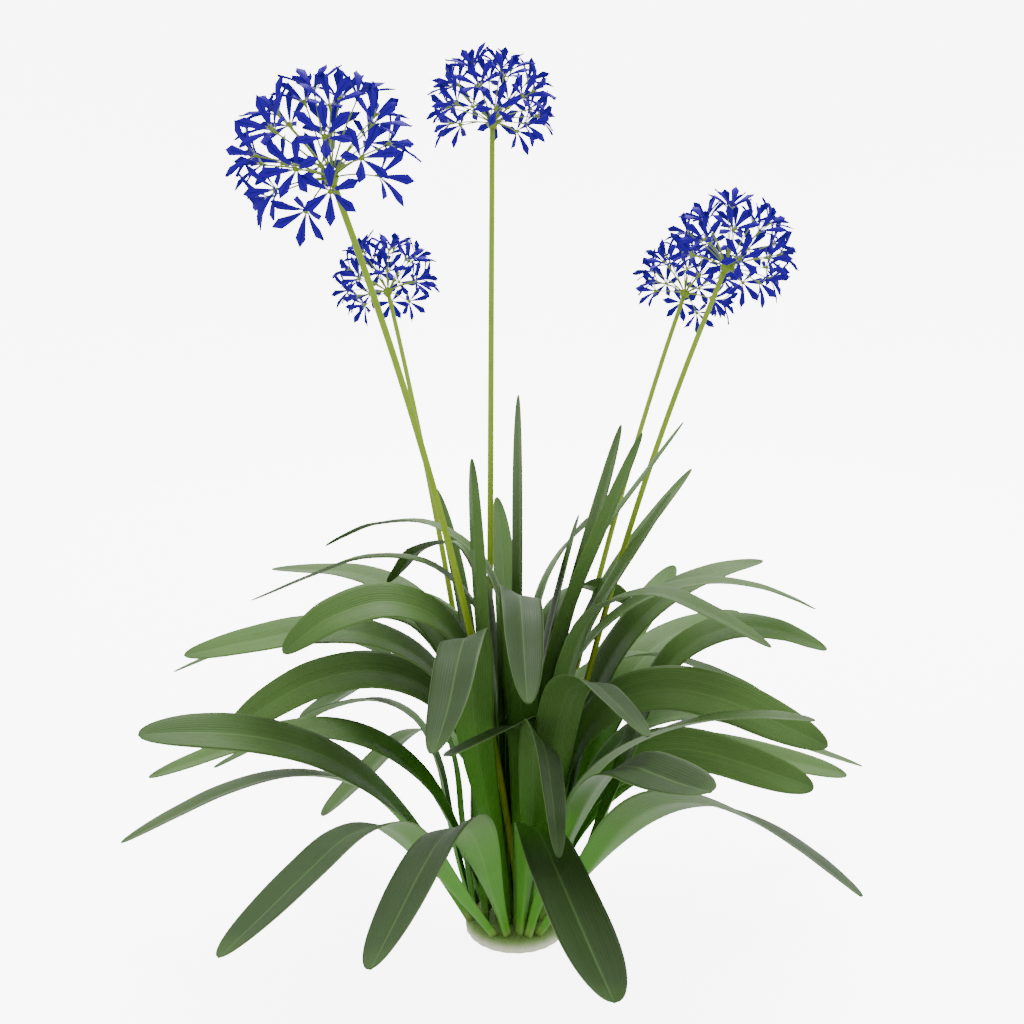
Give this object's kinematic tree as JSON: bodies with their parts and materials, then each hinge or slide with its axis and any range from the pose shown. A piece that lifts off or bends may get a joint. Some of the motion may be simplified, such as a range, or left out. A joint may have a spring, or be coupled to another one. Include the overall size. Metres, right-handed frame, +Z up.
{
  "type": "agapanthus plant",
  "caption": "Clump of arching strap leaves with tall bare stems, each ending in a ball of star-shaped blue florets, standing on its flat cut crown.",
  "frame": {"origin": "middle of the flat cut underside of the crown, on the surface that the plant stands on", "axes": "+Z up, +X to the right of the picture's view, +Y away from its camera"},
  "size_m": [0.8222, 0.8765, 0.9363],
  "materials": {
    "leaf": "waxy, satin",
    "stem": "smooth, satin",
    "flower": "soft, matt",
    "crown": "fibrous, matt"
  },
  "bodies": {
    "root": {"crown": "crown", "scape_1": "stem", "scape_2": "stem", "scape_3": "stem", "scape_4": "stem", "scape_5": "stem", "umbel_1": "flower", "umbel_2": "flower", "umbel_3": "flower", "umbel_4": "flower", "umbel_5": "flower", "leaf_front_1": "leaf", "leaf_front_2": "leaf", "leaf_front_3": "leaf", "leaf_front_4": "leaf", "leaf_left_1": "leaf", "leaf_left_2": "leaf", "leaf_right_1": "leaf", "leaf_right_2": "leaf", "leaf_left_3": "leaf", "leaf_left_4": "leaf", "leaf_left_5": "leaf", "leaf_right_3": "leaf", "leaf_right_4": "leaf", "leaf_front_5": "leaf", "leaf_front_6": "leaf", "leaf_front_7": "leaf", "leaf_front_8": "leaf", "leaf_front_9": "leaf", "leaf_left_6": "leaf", "leaf_left_7": "leaf", "leaf_left_8": "leaf", "leaf_left_9": "leaf", "leaf_left_10": "leaf", "leaf_back_1": "leaf", "leaf_left_11": "leaf", "leaf_back_2": "leaf", "leaf_left_12": "leaf", "leaf_left_13": "leaf", "leaf_left_14": "leaf", "leaf_upright_1": "leaf", "leaf_upright_2": "leaf", "leaf_upright_3": "leaf", "leaf_upright_4": "leaf", "leaf_upright_5": "leaf", "leaf_back_3": "leaf", "leaf_upright_6": "leaf", "leaf_upright_7": "leaf", "leaf_upright_8": "leaf", "leaf_upright_9": "leaf", "leaf_upright_10": "leaf", "leaf_back_4": "leaf", "leaf_right_5": "leaf", "leaf_back_5": "leaf", "leaf_back_6": "leaf", "leaf_right_6": "leaf", "leaf_back_7": "leaf", "leaf_back_8": "leaf", "leaf_right_7": "leaf", "leaf_right_8": "leaf"}
  },
  "joints": []
}
